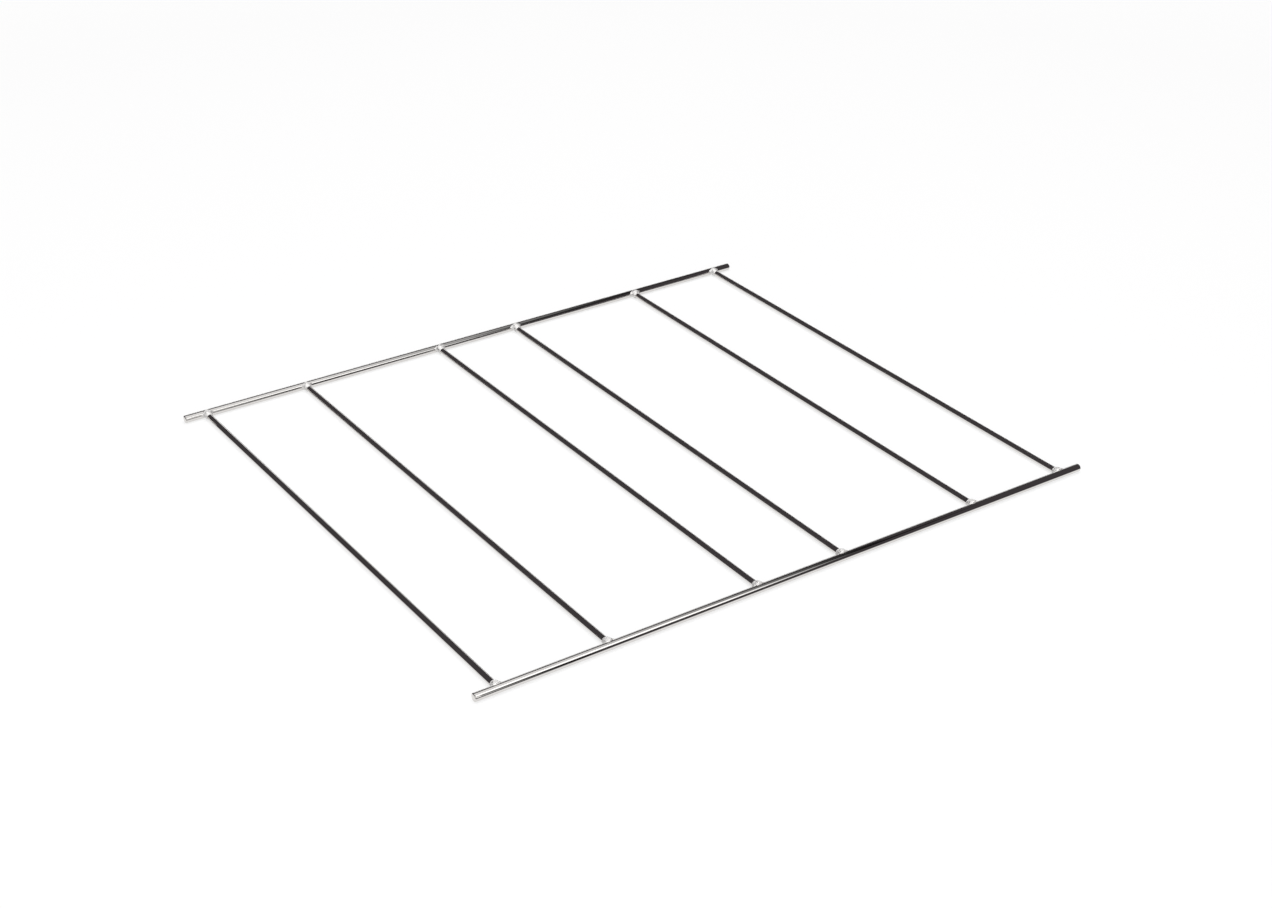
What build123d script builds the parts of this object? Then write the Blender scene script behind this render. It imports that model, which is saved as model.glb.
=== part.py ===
from build123d import *
import math
import os

# Fryer basket support: a flat welded rack of bright drawn wire.
# Six cross wires butt between two thicker end rods, and a weld bead closes each of the twelve joints.
# X runs along the rods, Y along the wires with the front rod at -Y, and the rods lie on Z = 0.

# Rods and wires, millimetres
rod_diameter = 4.76
wire_diameter = 3.8
rod_length = 419.1
rod_spacing = 350.84  # between the two rod axes
rod_overhang = 14.3  # free rod end past the outermost wire's axis
outer_gap = 68.3  # from the outermost wire to the next one in
centre_gap = 58.7  # between the axes of the two middle wires
rod_end_bevel = 0.4  # edge broken where the rod was cut

# Weld beads, millimetres
bead_spread = 9.2  # width along the rod, where the bead's flanks run into it
bead_reach = 2.6  # length along the wire, from the rod's side
bead_crown = 0.95  # rise over the top of the rod
bead_lift = 0.3  # underside above the rod's underside, clear of what the rack lies on
toe_step = 0.1  # edge where the bead ends on the wire
back_share = 0.7  # depth of the bead's buried back end behind the rod's axis, in rod radii
peak_share = 0.5  # the bead's highest point in front of the rod's axis, in rod radii
flank_share = 0.85  # where the flanks start to close on the wire, in rod radii
front_steps = 5  # bands from the highest point to the toe

rod_radius = rod_diameter / 2
wire_radius = wire_diameter / 2
outer_wire = rod_length / 2 - rod_overhang
inner_wire = outer_wire - outer_gap
middle_wire = centre_gap / 2
wire_places = [-outer_wire, -inner_wire, -middle_wire, middle_wire, inner_wire, outer_wire]
rod_places = {"front": -rod_spacing / 2, "rear": rod_spacing / 2}


def end_rod():
    # a straight rod along X on its own axis, with both cut edges broken
    rod = Rot(0, 90, 0) * Cylinder(rod_radius, rod_length)
    ends = rod.edges().filter_by(GeomType.CIRCLE)
    return chamfer(ends, rod_end_bevel)


def cross_wire():
    # a straight wire along Y, its ends coped to sit against the sides of both rods
    wire = Rot(90, 0, 0) * Cylinder(wire_radius, rod_spacing)
    for place in rod_places.values():
        wire -= Pos(0, place, 0) * Rot(0, 90, 0) * Cylinder(rod_radius, 4 * wire_diameter)
    return wire


def bead_section(along_wire, half_width, top, bottom):
    # an oval across the wire, given by its half width and its highest and lowest points from the axes
    plane = Plane(origin=(0, along_wire, (top + bottom) / 2), x_dir=(1, 0, 0), z_dir=(0, 1, 0))
    return plane * Ellipse(half_width, (top - bottom) / 2)


def weld_bead():
    # Weld metal about a joint whose rod lies along X and whose wire leaves along +Y.
    # Ovals are lofted from a back end buried in the rod, over a crown that stands above it,
    # down a rounded front to the toe on the wire, while hollow flanks close in from the rod.
    crown_half = bead_spread / 2
    crown_top = rod_radius + bead_crown
    crown_bottom = bead_lift - rod_radius
    crown_middle = (crown_top + crown_bottom) / 2
    toe_radius = wire_radius + toe_step
    toe = rod_radius + bead_reach
    peak = peak_share * rod_radius
    back_length = peak + back_share * rod_radius
    flank_start = flank_share * rod_radius

    sections = []
    for angle in (28, 55, 90):  # quarter ellipse, from the back end to the highest point
        size = math.sin(math.radians(angle))
        along_wire = peak - back_length * math.cos(math.radians(angle))
        half_height = size * (crown_top - crown_middle)
        top = crown_middle + half_height
        bottom = crown_middle - half_height
        sections.append(bead_section(along_wire, size * crown_half, top, bottom))
    for step in range(1, front_steps + 1):
        share = step / front_steps
        along_wire = peak + share * (toe - peak)
        top = math.sqrt(toe_radius**2 + (crown_top**2 - toe_radius**2) * (1 - share**2))
        bottom = crown_bottom - (crown_bottom + toe_radius) * share
        closed = max(0, (along_wire - flank_start) / (toe - flank_start))
        hollow = 1 - math.sqrt(1 - (1 - closed) ** 2)  # quarter circle, steep at the rod, level at the toe
        flank = toe_radius + (crown_half - toe_radius) * hollow
        half_width = max(flank, (top - bottom) / 2)
        sections.append(bead_section(along_wire, half_width, top, bottom))

    rod = Rot(0, 90, 0) * Cylinder(rod_radius, 2 * bead_spread)
    wire_end = (Align.CENTER, Align.CENTER, Align.MIN)
    wire = Rot(-90, 0, 0) * Cylinder(wire_radius, 2 * (rod_radius + bead_reach), align=wire_end)
    return loft(sections, ruled=True) - rod - wire


def placed_nodes():
    # the beads along one rod share a node, six separate solids
    nodes = {}
    rod = end_rod()
    wire = cross_wire()
    bead = weld_bead()
    bead_turn = {"front": 0, "rear": 180}
    for number, across in enumerate(wire_places, start=1):
        nodes[f"cross_wire_{number}"] = Pos(across, 0, rod_radius) * wire
    for side, place in rod_places.items():
        nodes[f"{side}_rod"] = Pos(0, place, rod_radius) * rod
        turned = Rot(0, 0, bead_turn[side]) * bead
        beads = [Pos(across, place, rod_radius) * turned for across in wire_places]
        nodes[f"{side}_weld_beads"] = Compound(children=beads)
    return nodes


os.makedirs("parts", exist_ok=True)
for name, solid in placed_nodes().items():
    export_step(solid, f"parts/{name}.step")
print(f"rods {rod_length:.1f} mm long, {rod_spacing + rod_diameter:.1f} mm over both")
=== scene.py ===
import math
import bmesh
import bpy
from mathutils import Matrix, Vector


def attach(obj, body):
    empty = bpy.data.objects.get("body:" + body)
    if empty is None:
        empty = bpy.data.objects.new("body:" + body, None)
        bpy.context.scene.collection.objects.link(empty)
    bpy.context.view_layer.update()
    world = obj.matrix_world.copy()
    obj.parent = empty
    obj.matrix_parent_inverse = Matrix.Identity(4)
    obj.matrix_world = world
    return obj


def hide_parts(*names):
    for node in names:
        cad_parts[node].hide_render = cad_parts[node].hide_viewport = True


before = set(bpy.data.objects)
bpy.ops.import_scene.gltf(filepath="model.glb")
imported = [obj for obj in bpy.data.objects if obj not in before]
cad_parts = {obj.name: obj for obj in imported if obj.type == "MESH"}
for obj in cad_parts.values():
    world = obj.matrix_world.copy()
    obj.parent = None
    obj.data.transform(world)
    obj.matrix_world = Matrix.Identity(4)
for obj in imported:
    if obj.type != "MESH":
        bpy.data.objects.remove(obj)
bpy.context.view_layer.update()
scene = bpy.context.scene
scene.view_settings.view_transform = "Standard"
mm = 0.001
print("frame loaded with", len(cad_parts), "nodes")


def hexToLinear(code):
    parts = [int(code[i:i + 2], 16) / 255 for i in (1, 3, 5)]
    return [p / 12.92 if p <= 0.04045 else ((p + 0.055) / 1.055) ** 2.4 for p in parts] + [1.0]


# adds one node: settings go to its properties or else its sockets, links come from other nodes' outputs
def addNode(tree, kind, settings=None, links=None):
    node = tree.nodes.new(kind)
    for key, value in (settings or {}).items():
        if isinstance(key, str) and hasattr(node, key):
            setattr(node, key, value)
        else:
            node.inputs[key].default_value = value
    for key, source in (links or {}).items():
        tree.links.new(source, node.inputs[key])
    return node


# materials

plating = {
    "bright": "#E2E0DE",  # nickel is a little warmer than chrome
    "dull": "#D2CFCC",
    "roughness": (0.03, 0.07),
    "dieLine": 0.5,  # mm between die lines; the real ones are about 0.05 mm and would not show
    "dieLineRun": 60,  # mm that a die line can be followed
    "dieLineDepth": 0.0006,  # mm
    "smudge": 22,  # mm across a duller patch
}
weldPlating = {
    "satin": "#F4F3F1",  # the weld metal sets finely pitted, so its plate is satin white
    "roughness": (0.14, 0.3),
    "cloud": 2.2,  # mm across a rougher patch
    "speck": 1.3,  # mm across the bright specks where the plate has closed over the pits
    "speckEdge": (0.5, 0.74),  # noise levels where a speck starts and where it is full
    "mirror": (0.16, 0.9),  # share that mirrors, on the satin and on a speck
    "ripple": 0.8,  # mm between the ripples that a weld leaves as it sets
    "rippleDepth": 0.012,  # mm
}
noiseSpan = {"From Min": 0.3, "From Max": 0.7}  # nearly all of a noise texture's values


# Bright nickel plate over cold drawn steel: a mirror, broken by faint lines that run along the bar
def platedDrawnSteel(name, along):
    material = bpy.data.materials.new(name)
    material.use_nodes = True
    tree = material.node_tree
    shader = tree.nodes["Principled BSDF"]
    shader.inputs["Metallic"].default_value = 1.0
    coords = addNode(tree, "ShaderNodeTexCoord")
    spot = coords.outputs["Object"]
    stretch = [1 / (plating["dieLine"] * mm)] * 3
    stretch[along] = 1 / (plating["dieLineRun"] * mm)
    lineSpace = addNode(tree, "ShaderNodeMapping", {"Scale": stretch}, {"Vector": spot})
    lines = addNode(tree, "ShaderNodeTexNoise", {"Scale": 1.0, "Detail": 3.0, "Roughness": 0.6},
                    {"Vector": lineSpace.outputs[0]})
    smudgeLook = {"Scale": 1 / (plating["smudge"] * mm), "Detail": 4.0, "Roughness": 0.55}
    smudges = addNode(tree, "ShaderNodeTexNoise", smudgeLook, {"Vector": spot})
    low, high = plating["roughness"]
    rough = addNode(tree, "ShaderNodeMapRange", {**noiseSpan, "To Min": low, "To Max": high},
                    {"Value": smudges.outputs["Fac"]})
    colours = {6: hexToLinear(plating["bright"]), 7: hexToLinear(plating["dull"])}
    tint = addNode(tree, "ShaderNodeMix", {"data_type": "RGBA", **colours}, {0: smudges.outputs["Fac"]})
    bump = addNode(tree, "ShaderNodeBump", {"Strength": 1.0, "Distance": plating["dieLineDepth"] * mm},
                   {"Height": lines.outputs["Fac"]})
    tree.links.new(tint.outputs[2], shader.inputs["Base Color"])
    tree.links.new(rough.outputs[0], shader.inputs["Roughness"])
    tree.links.new(bump.outputs[0], shader.inputs["Normal"])
    return material


# The same plate over weld metal: satin white with brighter specks, and shallow ripples under it
def platedWeldMetal(name):
    material = bpy.data.materials.new(name)
    material.use_nodes = True
    tree = material.node_tree
    shader = tree.nodes["Principled BSDF"]
    coords = addNode(tree, "ShaderNodeTexCoord")
    spot = coords.outputs["Object"]
    specks = addNode(tree, "ShaderNodeTexNoise", {"Scale": 1 / (weldPlating["speck"] * mm), "Detail": 1.0},
                     {"Vector": spot})
    (start, full), (satin, bright) = weldPlating["speckEdge"], weldPlating["mirror"]
    mirror = addNode(tree, "ShaderNodeMapRange",
                     {"From Min": start, "From Max": full, "To Min": satin, "To Max": bright},
                     {"Value": specks.outputs["Fac"]})
    cloudLook = {"Scale": 1 / (weldPlating["cloud"] * mm), "Detail": 3.0, "Roughness": 0.5}
    clouds = addNode(tree, "ShaderNodeTexNoise", cloudLook, {"Vector": spot})
    rippleLook = {
        "wave_type": "BANDS", "bands_direction": "Y",
        "Scale": 0.314 / (weldPlating["ripple"] * mm),  # a wave texture of scale 1 repeats every 0.314
        "Distortion": 3.0, "Detail": 2.0, "Detail Scale": 1.5,
    }
    ripples = addNode(tree, "ShaderNodeTexWave", rippleLook, {"Vector": spot})
    low, high = weldPlating["roughness"]
    rough = addNode(tree, "ShaderNodeMapRange", {**noiseSpan, "To Min": low, "To Max": high},
                    {"Value": clouds.outputs["Fac"]})
    colours = {6: hexToLinear(weldPlating["satin"]), 7: hexToLinear(plating["bright"])}
    tint = addNode(tree, "ShaderNodeMix", {"data_type": "RGBA", **colours}, {0: clouds.outputs["Fac"]})
    bump = addNode(tree, "ShaderNodeBump", {"Strength": 1.0, "Distance": weldPlating["rippleDepth"] * mm},
                   {"Height": ripples.outputs["Fac"]})
    tree.links.new(tint.outputs[2], shader.inputs["Base Color"])
    tree.links.new(rough.outputs[0], shader.inputs["Roughness"])
    tree.links.new(bump.outputs[0], shader.inputs["Normal"])
    tree.links.new(mirror.outputs[0], shader.inputs["Metallic"])
    return material


rodPlate = platedDrawnSteel("nickelPlatedDrawnRod", 0)
wirePlate = platedDrawnSteel("nickelPlatedDrawnWire", 1)
weldPlate = platedWeldMetal("nickelPlatedWeldBead")
print("materials made")


# geometry node trees

def startTree(name, sockets):
    tree = bpy.data.node_groups.new(name, "GeometryNodeTree")
    tree.interface.new_socket("Geometry", in_out="INPUT", socket_type="NodeSocketGeometry")
    for label, kind in sockets.items():
        tree.interface.new_socket(label, in_out="INPUT", socket_type=f"NodeSocket{kind}")
    tree.interface.new_socket("Geometry", in_out="OUTPUT", socket_type="NodeSocketGeometry")
    return tree


def bakeModifiers(piece):
    depsgraph = bpy.context.evaluated_depsgraph_get()
    made = bpy.data.meshes.new_from_object(piece.evaluated_get(depsgraph), depsgraph=depsgraph)
    piece.modifiers.clear()
    piece.data = made


def runTree(name, tree, values, startMesh=None):
    piece = bpy.data.objects.new(name, startMesh or bpy.data.meshes.new(name))
    scene.collection.objects.link(piece)
    modifier = piece.modifiers.new("shape", "NODES")
    modifier.node_group = tree
    for item in tree.interface.items_tree:
        if item.in_out == "INPUT" and item.name in values:
            modifier[item.identifier] = values[item.name]
    bakeModifiers(piece)
    piece.data.name = name
    return piece


def drawnBarTree():
    tree = startTree("drawnBar", {
        "Start": "Vector", "End": "Vector", "Radius": "Float", "Sides": "Int", "Steps": "Int",
        "Bow": "Float", "Bow Length": "Float", "Seed": "Float", "Material": "Material"})
    given = addNode(tree, "NodeGroupInput").outputs
    line = addNode(tree, "GeometryNodeCurvePrimitiveLine", None,
                   {"Start": given["Start"], "End": given["End"]})
    steps = addNode(tree, "GeometryNodeResampleCurve", None,
                    {"Curve": line.outputs[0], "Count": given["Steps"]})
    # a drawn bar is never dead straight: a slow wander sideways, nothing at its ends
    spot = addNode(tree, "GeometryNodeInputPosition")
    wander = addNode(tree, "ShaderNodeTexNoise", {"noise_dimensions": "4D", "Detail": 0.0},
                     {"Vector": spot.outputs[0], "W": given["Seed"], "Scale": given["Bow Length"]})
    centred = addNode(tree, "ShaderNodeVectorMath", {"operation": "SUBTRACT", 1: (0.5, 0.5, 0.5)},
                      {0: wander.outputs["Color"]})
    share = addNode(tree, "GeometryNodeSplineParameter")
    turn = addNode(tree, "ShaderNodeMath", {"operation": "MULTIPLY", 1: math.pi},
                   {0: share.outputs["Factor"]})
    fade = addNode(tree, "ShaderNodeMath", {"operation": "SINE"}, {0: turn.outputs[0]})
    size = addNode(tree, "ShaderNodeMath", {"operation": "MULTIPLY"}, {0: fade.outputs[0], 1: given["Bow"]})
    level = addNode(tree, "ShaderNodeVectorMath", {"operation": "MULTIPLY", 1: (1.0, 1.0, 0.0)},
                    {0: centred.outputs[0]})
    shift = addNode(tree, "ShaderNodeVectorMath", {"operation": "SCALE"},
                    {0: level.outputs[0], "Scale": size.outputs[0]})
    bowed = addNode(tree, "GeometryNodeSetPosition", None,
                    {"Geometry": steps.outputs[0], "Offset": shift.outputs[0]})
    ring = addNode(tree, "GeometryNodeCurvePrimitiveCircle", None,
                   {"Resolution": given["Sides"], "Radius": given["Radius"]})
    tube = addNode(tree, "GeometryNodeCurveToMesh", {"Fill Caps": True},
                   {"Curve": bowed.outputs[0], "Profile Curve": ring.outputs[0]})
    smooth = addNode(tree, "GeometryNodeSetShadeSmooth", None, {"Geometry": tube.outputs[0]})
    real = addNode(tree, "GeometryNodeRealizeInstances", None, {"Geometry": smooth.outputs[0]})
    dressed = addNode(tree, "GeometryNodeSetMaterial", None,
                      {"Geometry": real.outputs[0], "Material": given["Material"]})
    addNode(tree, "NodeGroupOutput", None, {"Geometry": dressed.outputs[0]})
    return tree


def beadRowTree():
    tree = startTree("beadRow", {
        "Bead": "Object", "Turn": "Vector", "Sway": "Vector", "Smallest": "Vector", "Largest": "Vector",
        "Lump": "Float", "Lump Scale": "Float", "Seed": "Int", "Material": "Material"})
    given = addNode(tree, "NodeGroupInput").outputs
    shape = addNode(tree, "GeometryNodeObjectInfo", None, {"Object": given["Bead"]})
    back = addNode(tree, "ShaderNodeVectorMath", {"operation": "SCALE", "Scale": -1.0}, {0: given["Sway"]})
    sway = addNode(tree, "FunctionNodeRandomValue", {"data_type": "FLOAT_VECTOR"},
                   {0: back.outputs[0], 1: given["Sway"], "Seed": given["Seed"]})
    turn = addNode(tree, "ShaderNodeVectorMath", {"operation": "ADD"}, {0: given["Turn"], 1: sway.outputs[0]})
    # sizes are drawn from another seed than the sway
    other = addNode(tree, "ShaderNodeMath", {"operation": "ADD", 1: 7.0}, {0: given["Seed"]})
    size = addNode(tree, "FunctionNodeRandomValue", {"data_type": "FLOAT_VECTOR"},
                   {0: given["Smallest"], 1: given["Largest"], "Seed": other.outputs[0]})
    row = addNode(tree, "GeometryNodeInstanceOnPoints", None, {
        "Points": given["Geometry"], "Instance": shape.outputs["Geometry"],
        "Rotation": turn.outputs[0], "Scale": size.outputs[0]})
    real = addNode(tree, "GeometryNodeRealizeInstances", None, {"Geometry": row.outputs[0]})
    # no two beads set alike, so each gets lumps of its own
    lumps = addNode(tree, "ShaderNodeTexNoise", {"Detail": 1.0}, {"Scale": given["Lump Scale"]})
    centred = addNode(tree, "ShaderNodeMath", {"operation": "SUBTRACT", 1: 0.5}, {0: lumps.outputs["Fac"]})
    rise = addNode(tree, "ShaderNodeMath", {"operation": "MULTIPLY"},
                   {0: centred.outputs[0], 1: given["Lump"]})
    normal = addNode(tree, "GeometryNodeInputNormal")
    shift = addNode(tree, "ShaderNodeVectorMath", {"operation": "SCALE"},
                    {0: normal.outputs[0], "Scale": rise.outputs[0]})
    lumpy = addNode(tree, "GeometryNodeSetPosition", None,
                    {"Geometry": real.outputs[0], "Offset": shift.outputs[0]})
    smooth = addNode(tree, "GeometryNodeSetShadeSmooth", None, {"Geometry": lumpy.outputs[0]})
    dressed = addNode(tree, "GeometryNodeSetMaterial", None,
                      {"Geometry": smooth.outputs[0], "Material": given["Material"]})
    addNode(tree, "NodeGroupOutput", None, {"Geometry": dressed.outputs[0]})
    return tree


barTree = drawnBarTree()
rowTree = beadRowTree()
print("node trees made")


# rods

rod = {
    "length": 419.1,  # mm
    "diameter": 4.76,
    "spacing": 350.84,
    "endRound": 0.45,
    "endSteps": 4,
    "endAngle": 60,  # degrees; edges sharper than this are rounded
    "sides": 48,
    "steps": 120,
    "bow": 0.25,  # mm, the widest that the wander can span
    "bowLength": 160,  # mm
    "seeds": (1.7, 4.2),  # front, rear
}
axisHeight = rod["diameter"] / 2
mergeDistance = 1e-7  # m
sharpAngle = 50  # degrees


def roundEnds(piece, width):
    bevel = piece.modifiers.new("ends", "BEVEL")
    bevel.width = width * mm
    bevel.segments = rod["endSteps"]
    bevel.limit_method = "ANGLE"
    bevel.angle_limit = math.radians(rod["endAngle"])
    bakeModifiers(piece)


def faceOutward(piece):
    shell = bmesh.new()
    shell.from_mesh(piece.data)
    bmesh.ops.remove_doubles(shell, verts=shell.verts, dist=mergeDistance)
    bmesh.ops.recalc_face_normals(shell, faces=shell.faces)
    shell.to_mesh(piece.data)
    shell.free()
    piece.data.set_sharp_from_angle(angle=math.radians(sharpAngle))


# one bar between two points in mm, drawn to the sizes of the rods or the wires
def drawnBar(name, sizes, start, end, seed, plate):
    return runTree(name, barTree, {
        "Start": Vector(start) * mm, "End": Vector(end) * mm, "Radius": sizes["diameter"] / 2 * mm,
        "Sides": sizes["sides"], "Steps": sizes["steps"], "Bow": sizes["bow"] * mm,
        "Bow Length": 1 / (sizes["bowLength"] * mm), "Seed": seed, "Material": plate})


def makeRod(name, place, seed, node):
    half = rod["length"] / 2
    piece = drawnBar(name, rod, (-half, place, axisHeight), (half, place, axisHeight), seed, rodPlate)
    roundEnds(piece, rod["endRound"])
    faceOutward(piece)
    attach(piece, "root")
    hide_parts(node)


frontSeed, rearSeed = rod["seeds"]
makeRod("frontRod", -rod["spacing"] / 2, frontSeed, "front_rod")
makeRod("rearRod", rod["spacing"] / 2, rearSeed, "rear_rod")
print("rods made")


# cross wires

wire = {
    "diameter": 3.8,  # mm
    "places": (-195.25, -126.95, -29.35, 29.35, 126.95, 195.25),
    "buried": 0.9,  # mm that each end goes into the rod's side, under the weld
    "sides": 40,
    "steps": 110,
    "bow": 0.3,
    "bowLength": 140,
    "firstSeed": 10.3,
}
reach = (rod["spacing"] - rod["diameter"]) / 2 + wire["buried"]
for number, across in enumerate(wire["places"], start=1):
    piece = drawnBar(f"crossWire{number}", wire, (across, -reach, axisHeight), (across, reach, axisHeight),
                     wire["firstSeed"] + number, wirePlate)
    faceOutward(piece)
    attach(piece, "root")
    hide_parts(f"cross_wire_{number}")
print("cross wires made")


# weld beads

bead = {
    "spread": 9.2,  # mm along the rod, from wing tip to wing tip
    "reach": 3.3,  # mm along the wire from the rod's side
    "crown": 0.95,  # mm over the rod's top
    "lift": 0.3,  # mm clear of the floor
    "peak": 1.6,  # mm from the rod's axis to the highest point
    "start": 0.4,  # mm from the rod's axis to where the bead starts, inside the rod
    "toeStep": 0.1,  # mm that the toe stands on the wire
    "wingStart": 2.0,  # mm from the rod's axis, where the wings start to close on the wire
    "wingPower": 6,  # higher is a thinner wing
    "rings": 30,
    "sides": 56,
    "lump": 0.12,  # mm
    "lumpSize": 2.6,  # mm
    # no two beads are laid alike: how far each turns, in radians, and its smallest and largest size
    "sway": (0.0, 0.03, 0.05),
    "smallest": (0.93, 0.94, 0.97),
    "largest": (1.05, 1.06, 1.02),
    "seeds": (3, 11),  # front, rear
}


# Ovals across one bead, whose rod lies along X and whose wire leaves along +Y.
# Each has its place along the wire, half its height, half its width and the height of its middle.
def beadOvals():
    rodRadius = rod["diameter"] / 2
    toeHalf = wire["diameter"] / 2 + bead["toeStep"]
    top, bottom = rodRadius + bead["crown"], bead["lift"] - rodRadius
    middle, tall = (top + bottom) / 2, (top - bottom) / 2
    peak, toe = bead["peak"], rodRadius + bead["reach"]
    half = bead["rings"] // 2
    ovals = []
    for i in range(1, 2 * half + 1):
        if i <= half:  # a buried back end that swells to the peak
            angle = math.pi / 2 * i / half
            y = peak - (peak - bead["start"]) * math.cos(angle)
            mid, high = middle, tall * math.sin(angle)
        else:  # then down to the toe
            along = i / half - 1
            y = peak + (toe - peak) * along
            upper = math.sqrt(toeHalf ** 2 + (top ** 2 - toeHalf ** 2) * (1 - along ** 2))
            lower = bottom + (-toeHalf - bottom) * along
            mid, high = (upper + lower) / 2, (upper - lower) / 2
        closing = min(1, max(0, (y - bead["wingStart"]) / (toe - bead["wingStart"])))
        hollow = 1 - math.sqrt(1 - (1 - closing) ** 2)
        wing = toeHalf + (bead["spread"] / 2 - toeHalf) * hollow
        ovals.append((y, high, max(high, wing), mid))
    return ovals


# a drop with two thin wings along the rod
def beadMesh():
    shell = bmesh.new()
    rings = []
    for y, high, wing, mid in beadOvals():
        ring = []
        for k in range(bead["sides"]):
            a = 2 * math.pi * k / bead["sides"]
            wide = high + (wing - high) * abs(math.cos(a)) ** bead["wingPower"]
            corner = Vector((wide * math.cos(a), y, mid + high * math.sin(a)))
            ring.append(shell.verts.new(corner * mm))
        rings.append(ring)
    for near, far in zip(rings, rings[1:]):
        for k in range(bead["sides"]):
            n = (k + 1) % bead["sides"]
            shell.faces.new((near[k], near[n], far[n], far[k]))
    shell.faces.new(rings[0])
    shell.faces.new(rings[-1])
    bmesh.ops.recalc_face_normals(shell, faces=shell.faces)
    mesh = bpy.data.meshes.new("oneBead")
    shell.to_mesh(mesh)
    shell.free()
    return mesh


oneBead = bpy.data.objects.new("oneBead", beadMesh())
scene.collection.objects.link(oneBead)
frontSeed, rearSeed = bead["seeds"]
rows = (("front", -rod["spacing"] / 2, 0.0, frontSeed), ("rear", rod["spacing"] / 2, math.pi, rearSeed))
for side, place, turn, seed in rows:
    joints = bpy.data.meshes.new("joints")
    joints.from_pydata([Vector((across, place, axisHeight)) * mm for across in wire["places"]], [], [])
    piece = runTree(f"{side}WeldBeads", rowTree, {
        "Bead": oneBead, "Turn": (0.0, 0.0, turn), "Sway": bead["sway"],
        "Smallest": bead["smallest"], "Largest": bead["largest"],
        "Lump": bead["lump"] * mm, "Lump Scale": 1 / (bead["lumpSize"] * mm),
        "Seed": seed, "Material": weldPlate}, joints)
    faceOutward(piece)
    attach(piece, "root")
    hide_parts(f"{side}_weld_beads")
bpy.data.objects.remove(oneBead)
print("weld beads made")


# floor, lit sheets, lamp, camera

studio = {
    "floorSize": 60.0,  # m
    "floorDrop": 0.00002,  # m under the rods
    "floorPaint": "#8C8C8C",
    # what the camera and the metal see on top of the lamps' light, near the rack and past the lamps' reach
    "floorGlow": (0.72, 1.0),
    "lampReach": (0.9, 4.0),  # m from the rack's middle
    "mirrorFade": (0.006, 0.013),  # m over which the floor gives way, in the metal's mirror image only, to a painted dark: a painted reflection of shade
    "room": 0.06,  # how bright the room is past the lit sheets; also the painted dark that the metal mirrors where the floor is close
    "roomTint": "#FFF3FB",
    "fillWatts": 100,
    "fillSize": 3.0,  # m
    "fillPlace": (0.2, 0.3, 3.0),
}

# Sheets of lit cloth, in metres. One with a fade brightens in the direction that along gives,
# from nothing at the fade's first distance to its full glow at the second.
sheets = {
    # overhead
    "softbox": {"x": (-0.08, 0.7), "y": (-1.05, -0.36), "z": 0.7, "glow": 1.7,
                "along": (-0.888, -0.46), "fade": (-0.26, -0.06)},
    "ceilingBounce": {"x": (-1.0, 0.55), "y": (-0.3, 0.33), "z": 0.7, "glow": 1.0,
                      "along": (-1.0, 0.0), "fade": (-0.55, -0.1)},
    "ceiling": {"x": (-1.0, 1.5), "y": (0.3, 1.22), "z": 2.0, "glow": 1.1,
                "along": (-1.0, 0.0), "fade": (-1.5, -0.4)},
    # upright: a window and its pane behind the camera, a card before the rack and a low one far behind it
    "window": {"start": (-1.76, -0.71), "end": (-0.14, -1.89), "z": (0.1, 1.9), "glow": 2.4},
    "pane": {"start": (-1.76, -0.71), "end": (-0.14, -1.89), "z": (0.55, 1.2), "glow": 2.4},
    "frontCard": {"start": (-0.1, -2.0), "end": (0.8, -2.0), "z": (0.0, 1.1), "glow": 1.0,
                  "along": (-1.0, 0.0), "fade": (-0.76, -0.48)},
    "backCard": {"start": (0.2, 2.0), "end": (4.0, 2.0), "z": (0.0, 0.6), "glow": 1.2},
}


# Matt grey paint that also glows where it is seen, so that it is white and still takes a shadow. Close to the
# metal, its mirror image of the floor is painted dark.
def paleFloor():
    material = bpy.data.materials.new("paleStudioFloor")
    material.use_nodes = True
    tree = material.node_tree
    tree.nodes.remove(tree.nodes["Principled BSDF"])
    paint = addNode(tree, "ShaderNodeBsdfDiffuse", {"Color": hexToLinear(studio["floorPaint"])})
    rays = addNode(tree, "ShaderNodeLightPath").outputs
    seen = addNode(tree, "ShaderNodeMath", {"operation": "MAXIMUM"},
                   {0: rays["Is Camera Ray"], 1: rays["Is Glossy Ray"]})
    either = addNode(tree, "ShaderNodeMath", {"operation": "MAXIMUM"},
                     {0: seen.outputs[0], 1: rays["Is Transmission Ray"]})
    coords = addNode(tree, "ShaderNodeTexCoord")
    away = addNode(tree, "ShaderNodeVectorMath", {"operation": "LENGTH"}, {0: coords.outputs["Object"]})
    (start, end), (close, distant) = studio["lampReach"], studio["floorGlow"]
    level = addNode(tree, "ShaderNodeMapRange",
                    {"From Min": start, "From Max": end, "To Min": close, "To Max": distant},
                    {"Value": away.outputs["Value"]})
    strength = addNode(tree, "ShaderNodeMath", {"operation": "MULTIPLY"},
                       {0: either.outputs[0], 1: level.outputs[0]})
    glow = addNode(tree, "ShaderNodeEmission", None, {"Strength": strength.outputs[0]})
    both = addNode(tree, "ShaderNodeAddShader", None, {0: paint.outputs[0], 1: glow.outputs[0]})
    # painted reflection: where the metal mirrors the floor close by, the floor shows a dim painted dark
    # instead of its paint and glow
    near, far = studio["mirrorFade"]
    paintedDarkShare = addNode(tree, "ShaderNodeMapRange",
                   {"interpolation_type": "SMOOTHSTEP", "From Min": near, "From Max": far},
                   {"Value": rays["Ray Length"]})
    mirrored = addNode(tree, "ShaderNodeMath", {"operation": "MULTIPLY"},
                       {0: paintedDarkShare.outputs[0], 1: rays["Is Glossy Ray"]})
    paintedDark = addNode(tree, "ShaderNodeEmission",
                   {"Color": hexToLinear(studio["roomTint"]), "Strength": studio["room"]})
    surface = addNode(tree, "ShaderNodeMixShader", None,
                      {0: mirrored.outputs[0], 1: both.outputs[0], 2: paintedDark.outputs[0]})
    tree.links.new(surface.outputs[0], tree.nodes["Material Output"].inputs["Surface"])
    return material


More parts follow.
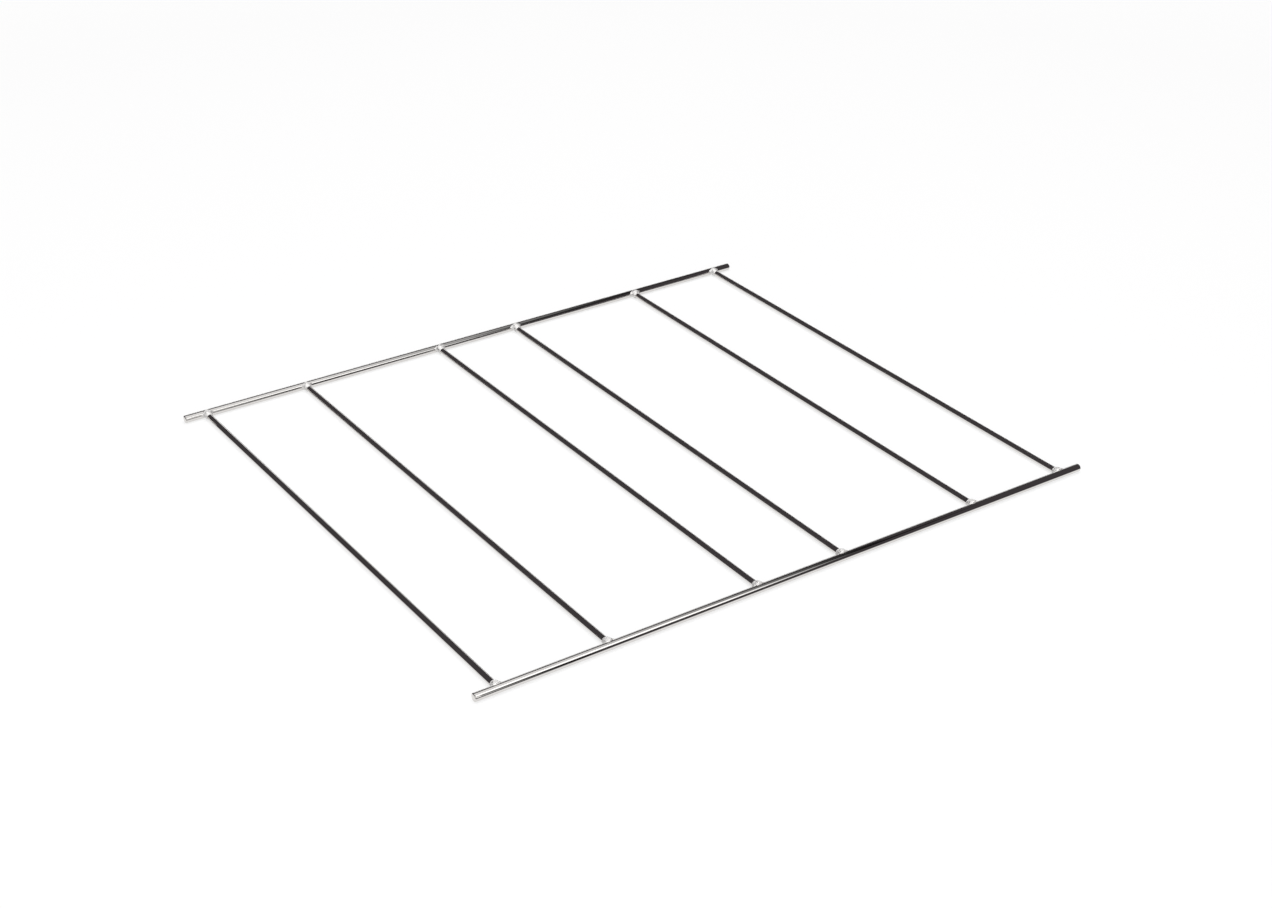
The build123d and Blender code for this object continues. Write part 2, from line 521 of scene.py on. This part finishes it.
# White cloth lit from behind
def litCloth(name, light):
    material = bpy.data.materials.new(name)
    material.use_nodes = True
    tree = material.node_tree
    tree.nodes.remove(tree.nodes["Principled BSDF"])
    glow = addNode(tree, "ShaderNodeEmission", {"Strength": light["glow"]})
    if "fade" in light:
        coords = addNode(tree, "ShaderNodeTexCoord")
        away = addNode(tree, "ShaderNodeVectorMath",
                       {"operation": "DOT_PRODUCT", 1: (*light["along"], 0.0)},
                       {0: coords.outputs["Object"]})
        low, high = light["fade"]
        fade = addNode(tree, "ShaderNodeMapRange",
                       {"interpolation_type": "SMOOTHSTEP", "From Min": low, "From Max": high,
                        "To Max": light["glow"]}, {"Value": away.outputs["Value"]})
        tree.links.new(fade.outputs[0], glow.inputs["Strength"])
    tree.links.new(glow.outputs[0], tree.nodes["Material Output"].inputs["Surface"])
    return material


def flatSheet(name, corners, material):
    mesh = bpy.data.meshes.new(name)
    mesh.from_pydata(corners, [], [range(len(corners))])
    mesh.materials.append(material)
    sheet = bpy.data.objects.new(name, mesh)
    scene.collection.objects.link(sheet)
    return sheet


def levelCorners(x, y, z):
    return [(x[0], y[0], z), (x[1], y[0], z), (x[1], y[1], z), (x[0], y[1], z)]


floorSpan = (-studio["floorSize"] / 2, studio["floorSize"] / 2)
flatSheet("floor", levelCorners(floorSpan, floorSpan, -studio["floorDrop"]), paleFloor())

for name, light in sheets.items():
    if "x" in light:
        corners = levelCorners(light["x"], light["y"], light["z"])
    else:
        start, end, (low, high) = light["start"], light["end"], light["z"]
        corners = [(*start, low), (*end, low), (*end, high), (*start, high)]
    sheet = flatSheet(name, corners, litCloth(name, light))
    sheet.visible_camera = False
    sheet.visible_shadow = False
    sheet.visible_diffuse = name == "window"  # with the lamp, all that lights the floor
    sheet.visible_glossy = name != "window"  # the metal mirrors only its pane

world = bpy.data.worlds.new("dimStudio")
scene.world = world
world.use_nodes = True
tree = world.node_tree
cameraRay = addNode(tree, "ShaderNodeLightPath").outputs["Is Camera Ray"]
level = addNode(tree, "ShaderNodeMapRange", {"To Min": studio["room"], "To Max": 1.0}, {"Value": cameraRay})
colours = {6: hexToLinear(studio["roomTint"]), 7: hexToLinear("#FFFFFF")}
tint = addNode(tree, "ShaderNodeMix", {"data_type": "RGBA", **colours}, {0: cameraRay})
tree.links.new(level.outputs[0], tree.nodes["Background"].inputs["Strength"])
tree.links.new(tint.outputs[2], tree.nodes["Background"].inputs["Color"])

fill = bpy.data.lights.new("floorFill", "AREA")
fill.energy = studio["fillWatts"]
fill.size = studio["fillSize"]
fillLamp = bpy.data.objects.new("floorFill", fill)
fillLamp.location = studio["fillPlace"]
fillLamp.visible_glossy = False
fillLamp.visible_camera = False
scene.collection.objects.link(fillLamp)

view = {
    "azimuth": -34.7125,  # degrees round from straight in front
    "elevation": 29.2775,
    "roll": 0.5327,
    "distance": 1.25501,  # m
    "aim": (-0.00151, -0.01541, 0.00238),
    "lens": 58.8843,  # mm
    "sensor": 36.0,  # mm wide
    "clip": (0.05, 200.0),  # m
}
azimuth, elevation, roll = (math.radians(view[key]) for key in ("azimuth", "elevation", "roll"))
back = Vector((math.sin(azimuth) * math.cos(elevation), -math.cos(azimuth) * math.cos(elevation),
               math.sin(elevation)))
right = Vector((math.cos(azimuth), math.sin(azimuth), 0.0))
up = back.cross(right)
cameraRight = right * math.cos(roll) + up * math.sin(roll)
cameraUp = up * math.cos(roll) - right * math.sin(roll)
turned = Matrix((cameraRight, cameraUp, back)).transposed().to_4x4()
camera = bpy.data.objects.new("camera", bpy.data.cameras.new("camera"))
camera.data.sensor_fit = "HORIZONTAL"
camera.data.sensor_width = view["sensor"]
camera.data.lens = view["lens"]
camera.data.clip_start, camera.data.clip_end = view["clip"]
camera.matrix_world = Matrix.Translation(Vector(view["aim"]) + back * view["distance"]) @ turned
scene.collection.objects.link(camera)
scene.camera = camera
print("floor, light and camera made")
